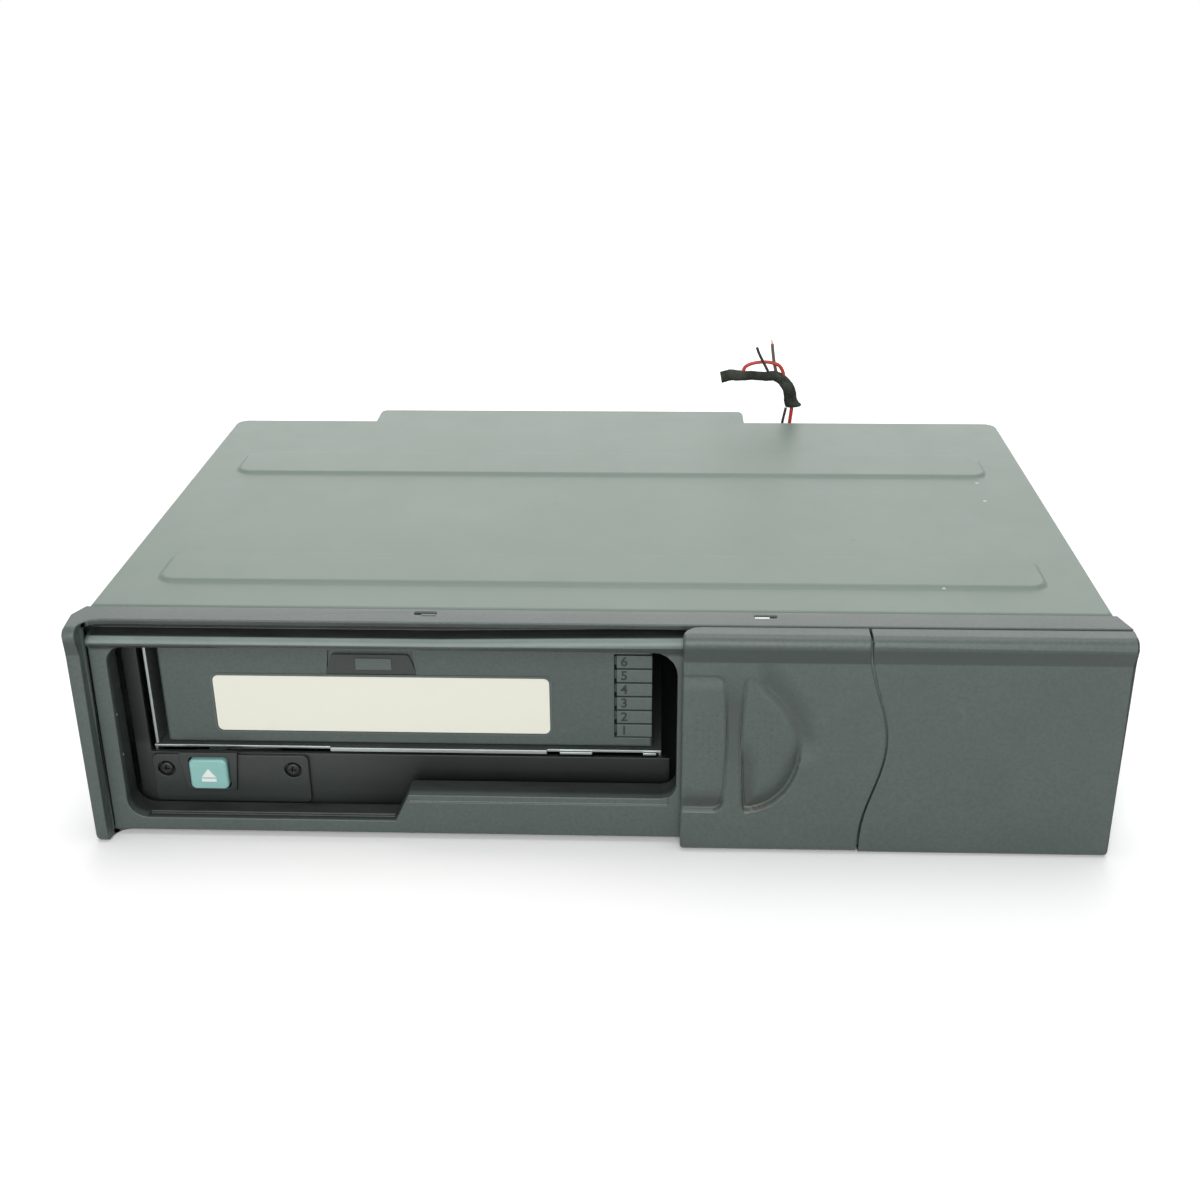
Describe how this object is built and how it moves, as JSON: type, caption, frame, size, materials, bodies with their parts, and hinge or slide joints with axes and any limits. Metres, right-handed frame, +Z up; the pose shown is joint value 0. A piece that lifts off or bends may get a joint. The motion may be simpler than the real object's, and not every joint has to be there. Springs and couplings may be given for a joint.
{
  "type": "car cd changer",
  "caption": "Disc changer for a car: low steel case, moulded front with a sliding door, slide-in magazine of numbered disc trays and a lifting player deck",
  "frame": {"origin": "bottom centre of the bounding box of the changer without its cut-off harness, on the plane that it stands on", "axes": "X to the right as seen from the front, Y from the front to the rear, Z up"},
  "size_m": [0.26, 0.177, 0.0783],
  "materials": {
    "painted_steel": "satin paint",
    "zinc_steel": "zinc plated sheet",
    "slate_plastic": "fine grain",
    "dark_plastic": "fine grain",
    "teal_plastic": "smooth",
    "tray_plastic": "smooth",
    "black_rubber": "matt",
    "board_green": "solder resist over glass-fibre board",
    "motor_steel": "turned and pressed steel",
    "brass": "turned",
    "red_cable": "soft insulation",
    "black_cable": "soft insulation",
    "cloth_tape": "woven tape"
  },
  "bodies": {
    "chassis": {"top_cover": "painted_steel", "rear_cap": "painted_steel", "chassis_pan": "zinc_steel", "front_bezel": "slate_plastic", "right_front_cover": "slate_plastic", "bay_sill": "dark_plastic", "eject_cover": "dark_plastic", "eject_cover_screw_left": "zinc_steel", "eject_cover_screw_right": "zinc_steel", "magazine_floor_plate": "zinc_steel", "magazine_guide": "zinc_steel", "magazine_eject_spring": "motor_steel", "front_post_plate": "zinc_steel", "rear_post_plate": "zinc_steel", "lift_motor": "motor_steel", "main_circuit_board": "board_green", "cable_entry": "black_rubber", "harness_red_wire": "red_cable", "harness_black_wire": "black_cable", "harness_taped_bundle": "cloth_tape"},
    "door_leaf": {"door_grip_leaf": "slate_plastic"},
    "inner_leaf": {"door_inner_leaf": "slate_plastic"},
    "button": {"eject_button": "teal_plastic"},
    "latch": {"latch_lever": "zinc_steel"},
    "magazine": {"magazine_shell": "slate_plastic"},
    "ejector": {"magazine_ejector": "dark_plastic"},
    "tray_1": {"disc_tray_1": "tray_plastic"},
    "tray_2": {"disc_tray_2": "tray_plastic"},
    "tray_3": {"disc_tray_3": "tray_plastic"},
    "tray_4": {"disc_tray_4": "tray_plastic"},
    "tray_5": {"disc_tray_5": "tray_plastic"},
    "tray_6": {"disc_tray_6": "tray_plastic"},
    "deck": {"lift_frame": "zinc_steel", "drive_deck": "dark_plastic", "deck_damper_1": "black_rubber", "deck_damper_2": "black_rubber", "deck_damper_3": "black_rubber", "deck_damper_4": "black_rubber", "spindle_motor": "motor_steel", "sled_rod_front": "motor_steel", "sled_rod_rear": "motor_steel", "sled_motor": "motor_steel", "tray_drive_motor": "motor_steel"},
    "turntable": {"turntable": "dark_plastic"},
    "sled": {"pickup_sled": "dark_plastic"},
    "lead_screw": {"sled_lead_screw": "brass"},
    "slider": {"tray_slider": "tray_plastic"},
    "drive_screw": {"tray_drive_screw": "brass"},
    "cam_front": {"lift_cam_front": "zinc_steel"},
    "cam_rear": {"lift_cam_rear": "zinc_steel"},
    "gear": {"lift_gear": "tray_plastic"},
    "pinion": {"motor_pinion": "brass"}
  },
  "joints": [
    {"name": "door_slide", "type": "slide", "parent": "chassis", "child": "door_leaf", "axis": [-1, 0, 0], "range_m": [0, 0.1479]},
    {"name": "inner_door_slide", "type": "slide", "parent": "chassis", "child": "inner_leaf", "axis": [-1, 0, 0], "range_m": [0, 0.0532]},
    {"name": "magazine_slide", "type": "slide", "parent": "chassis", "child": "magazine", "axis": [0, 1, 0], "range_m": [-0.145, 0]},
    {"name": "ejector_slide", "type": "slide", "parent": "chassis", "child": "ejector", "axis": [0, 1, 0], "range_m": [-0.0252, 0]},
    {"name": "tray_1_slide", "type": "slide", "parent": "magazine", "child": "tray_1", "axis": [1, 0, 0], "range_m": [0, 0.1092]},
    {"name": "tray_2_slide", "type": "slide", "parent": "magazine", "child": "tray_2", "axis": [1, 0, 0], "range_m": [0, 0.1092]},
    {"name": "tray_3_slide", "type": "slide", "parent": "magazine", "child": "tray_3", "axis": [1, 0, 0], "range_m": [0, 0.1092]},
    {"name": "tray_4_slide", "type": "slide", "parent": "magazine", "child": "tray_4", "axis": [1, 0, 0], "range_m": [0, 0.1092]},
    {"name": "tray_5_slide", "type": "slide", "parent": "magazine", "child": "tray_5", "axis": [1, 0, 0], "range_m": [0, 0.1092]},
    {"name": "tray_6_slide", "type": "slide", "parent": "magazine", "child": "tray_6", "axis": [1, 0, 0], "range_m": [0, 0.1092]},
    {"name": "eject_button_push", "type": "slide", "parent": "chassis", "child": "button", "axis": [0, 1, 0], "range_m": [0, 0.0025], "stiffness_N_per_m": 400, "springref_m": -0.001},
    {"name": "latch_pivot", "type": "hinge", "parent": "chassis", "child": "latch", "pos_m": [-0.088, -0.062, 0.0144], "axis": [0, 0, 1], "range_deg": [-10.3, 0]},
    {"name": "deck_lift", "type": "slide", "parent": "chassis", "child": "deck", "axis": [0, 0, -1], "range_m": [-0.0254, 0]},
    {"name": "front_cam_slide", "type": "slide", "parent": "chassis", "child": "cam_front", "axis": [-1, 0, 0], "range_m": [-0.0255, 0]},
    {"name": "rear_cam_slide", "type": "slide", "parent": "chassis", "child": "cam_rear", "axis": [-1, 0, 0], "range_m": [-0.0255, 0]},
    {"name": "lift_gear_spin", "type": "hinge", "parent": "chassis", "child": "gear", "pos_m": [-0.004, 0.0651, 0.022], "axis": [0, 1, 0], "range_deg": [-183, 0]},
    {"name": "motor_pinion_spin", "type": "hinge", "parent": "chassis", "child": "pinion", "pos_m": [-0.004, 0.0651, 0.034], "axis": [0, 1, 0], "range_deg": [0, 365]},
    {"name": "turntable_spin", "type": "hinge", "parent": "deck", "child": "turntable", "pos_m": [0.06, -0.008, 0.0186], "axis": [0, 0, 1], "continuous": true},
    {"name": "sled_slide", "type": "slide", "parent": "deck", "child": "sled", "axis": [1, 0, 0], "range_m": [0, 0.032]},
    {"name": "lead_screw_spin", "type": "hinge", "parent": "deck", "child": "lead_screw", "pos_m": [0.0747, 0.0175, 0.016], "axis": [1, 0, 0], "range_deg": [0, 5762]},
    {"name": "tray_slider_slide", "type": "slide", "parent": "deck", "child": "slider", "axis": [1, 0, 0], "range_m": [0, 0.1092]},
    {"name": "tray_drive_screw_spin", "type": "hinge", "parent": "deck", "child": "drive_screw", "pos_m": [0.0034, 0.0594, 0.011], "axis": [1, 0, 0], "range_deg": [0, 9830]}
  ],
  "couplings": [
    {"joint": "inner_door_slide", "follows": "door_slide", "ratio": 0.35835},
    {"joint": "ejector_slide", "follows": "magazine_slide", "ratio": 0.17241},
    {"joint": "latch_pivot", "follows": "eject_button_push", "rad_per_m": -70},
    {"joint": "front_cam_slide", "follows": "deck_lift", "ratio": 1},
    {"joint": "rear_cam_slide", "follows": "deck_lift", "ratio": 1},
    {"joint": "lift_gear_spin", "follows": "deck_lift", "rad_per_m": 125},
    {"joint": "motor_pinion_spin", "follows": "deck_lift", "rad_per_m": -250},
    {"joint": "lead_screw_spin", "follows": "sled_slide", "rad_per_m": 3141.6},
    {"joint": "tray_drive_screw_spin", "follows": "tray_slider_slide", "rad_per_m": 1570.8}
  ]
}
